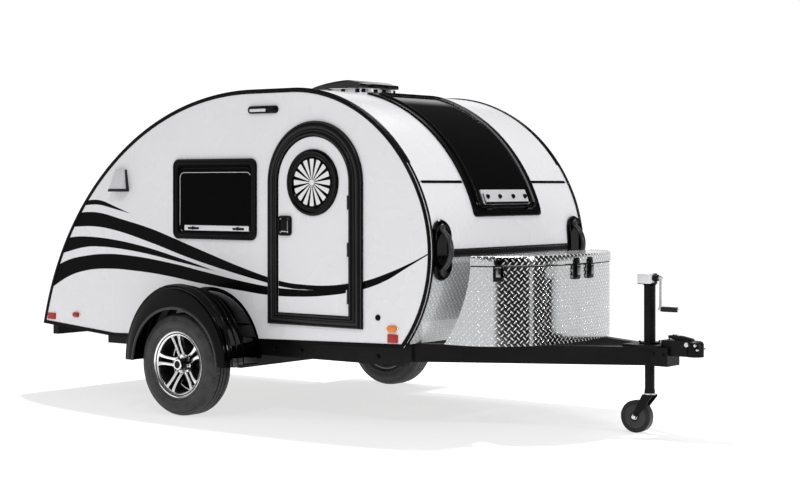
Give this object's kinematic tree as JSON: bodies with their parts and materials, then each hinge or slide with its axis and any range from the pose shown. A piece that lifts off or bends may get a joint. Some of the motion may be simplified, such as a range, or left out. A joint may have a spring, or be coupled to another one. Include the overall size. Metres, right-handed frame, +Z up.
{
  "type": "teardrop trailer",
  "caption": "Small rounded camping trailer with side doors, a rear galley hatch, a tread-plate tongue box, wheels under fenders and a caster jack at the coupler.",
  "frame": {"origin": "on the ground, midway along the trailer and midway between its sides", "axes": "+X forward to the coupler, +Y to the trailer's left, +Z up"},
  "size_m": [4.4434, 2.24, 2.03],
  "materials": {
    "alloy": "polished",
    "birch": "satin",
    "caster_black": "matte",
    "cushion": "matte",
    "fender_black": "gloss",
    "floor_board": "matte",
    "frame_black": "satin",
    "glazing": "gloss",
    "handle_black": "gloss",
    "lens_clear": "gloss",
    "lens_red": "gloss",
    "tread_plate": "satin",
    "trim_black": "satin",
    "tyre": "matte",
    "vent_smoked": "gloss",
    "vent_white": "gloss",
    "wall_white": "gloss",
    "zinc": "satin"
  },
  "bodies": {
    "trailer": {"side_rails": "frame_black", "cross_members": "frame_black", "tongue_rail_right": "frame_black", "tongue_rail_left": "frame_black", "coupler": "frame_black", "axle": "frame_black", "floor_pan": "floor_board", "wall_right": "wall_white", "wall_left": "wall_white", "roof_skin": "wall_white", "front_panel": "wall_white", "nose_plate": "tread_plate", "rear_valance": "wall_white", "front_window": "glazing", "front_window_frame": "trim_black", "mouldings": "trim_black", "door_frames": "trim_black", "window_frames": "trim_black", "window_panes": "glazing", "fender_right": "fender_black", "fender_left": "fender_black", "grab_handles": "handle_black", "vent_hood": "vent_white", "porch_lights": "lens_clear", "marker_lights": "lens_red", "galley": "birch", "mattress": "cushion", "tongue_box": "tread_plate", "jack_tube": "zinc", "roof_vent_base": "vent_white"},
    "hatch": {"hatch": "wall_white"},
    "door_right": {"door_right": "wall_white", "porthole_right": "glazing"},
    "door_left": {"door_left": "wall_white", "porthole_left": "glazing"},
    "box_lid": {"box_lid": "tread_plate"},
    "vent_lid": {"roof_vent_lid": "vent_smoked"},
    "jack_leg": {"jack_leg": "zinc"},
    "caster_fork": {"jack_fork": "zinc"},
    "caster_wheel": {"jack_wheel": "caster_black"},
    "jack_crank": {"jack_crank": "zinc"},
    "wheel_right": {"tyre_right": "tyre", "rim_right": "alloy"},
    "wheel_left": {"tyre_left": "tyre", "rim_left": "alloy"}
  },
  "joints": [
    {"name": "hatch_hinge", "type": "hinge", "parent": "trailer", "child": "hatch", "pos_m": [-1.04697, 0, 1.82267], "axis": [0, 1, 0], "range_deg": [0, 75]},
    {"name": "door_right_hinge", "type": "hinge", "parent": "trailer", "child": "door_right", "pos_m": [0.39903, -0.8193, 1.01], "axis": [0, 0, 1], "range_deg": [0, 105]},
    {"name": "door_left_hinge", "type": "hinge", "parent": "trailer", "child": "door_left", "pos_m": [0.39903, 0.8193, 1.01], "axis": [0, 0, -1], "range_deg": [0, 105]},
    {"name": "box_lid_hinge", "type": "hinge", "parent": "trailer", "child": "box_lid", "pos_m": [1.11323, 0, 0.933], "axis": [0, -1, 0], "range_deg": [0, 85]},
    {"name": "vent_lid_hinge", "type": "hinge", "parent": "trailer", "child": "vent_lid", "pos_m": [0.00803, 0, 1.982], "axis": [0, 1, 0], "range_deg": [0, 60]},
    {"name": "jack_leg_slide", "type": "slide", "parent": "trailer", "child": "jack_leg", "axis": [0, 0, 1], "range_m": [-0.2, 0.13]},
    {"name": "caster_swivel", "type": "hinge", "parent": "jack_leg", "child": "caster_fork", "pos_m": [1.89333, 0, 0.23], "axis": [0, 0, 1], "continuous": true},
    {"name": "caster_wheel_spin", "type": "hinge", "parent": "caster_fork", "child": "caster_wheel", "pos_m": [1.81333, 0, 0.09], "axis": [0, 1, 0], "continuous": true},
    {"name": "jack_crank_turn", "type": "hinge", "parent": "trailer", "child": "jack_crank", "pos_m": [1.95333, 0, 0.866], "axis": [1, 0, 0], "continuous": true},
    {"name": "wheel_right_spin", "type": "hinge", "parent": "trailer", "child": "wheel_right", "pos_m": [-0.69697, -1.01, 0.3073], "axis": [0, 1, 0], "continuous": true},
    {"name": "wheel_left_spin", "type": "hinge", "parent": "trailer", "child": "wheel_left", "pos_m": [-0.69697, 1.01, 0.3073], "axis": [0, 1, 0], "continuous": true}
  ]
}
